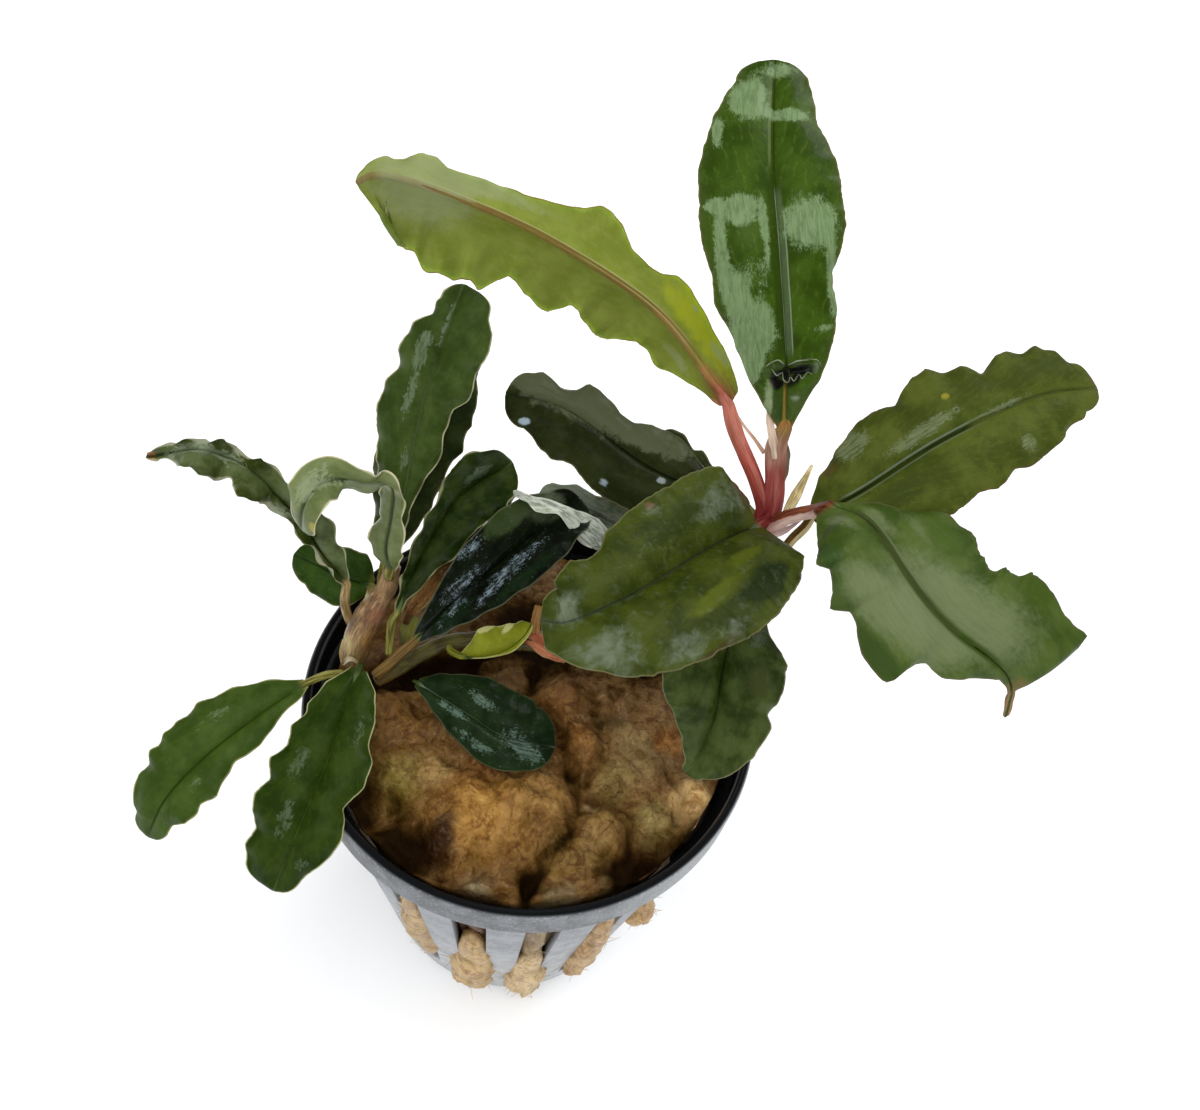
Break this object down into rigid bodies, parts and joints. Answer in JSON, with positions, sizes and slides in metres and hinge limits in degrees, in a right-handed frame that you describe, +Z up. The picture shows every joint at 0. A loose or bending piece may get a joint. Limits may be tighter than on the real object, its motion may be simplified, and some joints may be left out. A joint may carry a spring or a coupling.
{
  "type": "potted bucephalandra aquarium plant",
  "caption": "Bucephalandra with a creeping stem and crowns of wavy glossy leaves, rooted in mineral wool in a small black net pot.",
  "frame": {"origin": "centre of the pot's underside, where it stands", "axes": "+Z up along the pot's axis, -Y towards the front, where the picture was taken from"},
  "size_m": [0.0947, 0.0636, 0.1075],
  "materials": {
    "pot_plastic": "black, slightly glossy, wet",
    "mineral_wool": "wet tan mineral wool, lumpy and fibrous",
    "stem_olive": "smooth olive creeping stem",
    "papery_sheath": "papery pink-brown sheath",
    "dry_straw": "dry straw-coloured spike",
    "bract_brown": "orange-brown dry scale",
    "leaf_dark": "glossy dark green leaf, wet, red-pink stalk",
    "leaf_yellow_green": "satin yellow-green underside, brown-red margin",
    "leaf_olive": "glossy olive green leaf",
    "leaf_grey_green": "pale green leaf with a grey sheen",
    "leaf_dark_olive": "very dark olive leaf",
    "leaf_green": "glossy green leaf with a fine cream margin",
    "leaf_black_green": "blackish green leaf, very glossy",
    "leaf_bottle_green": "bottle green leaf, very glossy"
  },
  "bodies": {
    "root": {"net_pot": "pot_plastic", "mineral_wool": "mineral_wool", "rhizome": "stem_olive", "left_stem": "papery_sheath", "dried_spike": "dry_straw", "leaf_upright": "leaf_dark", "leaf_yellow_green": "leaf_yellow_green", "leaf_right": "leaf_olive", "leaf_drooping": "leaf_grey_green", "leaf_front": "leaf_olive", "leaf_lower_front": "leaf_olive", "leaf_dark_back": "leaf_dark_olive", "leaf_small_back": "leaf_dark_olive", "leaf_pale_wavy": "leaf_grey_green", "leaf_hidden_middle": "leaf_dark", "leaf_left_upright": "leaf_green", "leaf_left_back": "leaf_dark", "leaf_left_inner": "leaf_green", "leaf_left_glossy": "leaf_black_green", "leaf_arching": "leaf_green", "leaf_curled": "leaf_grey_green", "leaf_small_round": "leaf_green", "leaf_lower_left": "leaf_green", "leaf_over_rim": "leaf_green", "leaf_on_wool": "leaf_bottle_green", "leaf_young": "leaf_yellow_green", "bract": "bract_brown", "stem_scale": "bract_brown"}
  },
  "joints": []
}
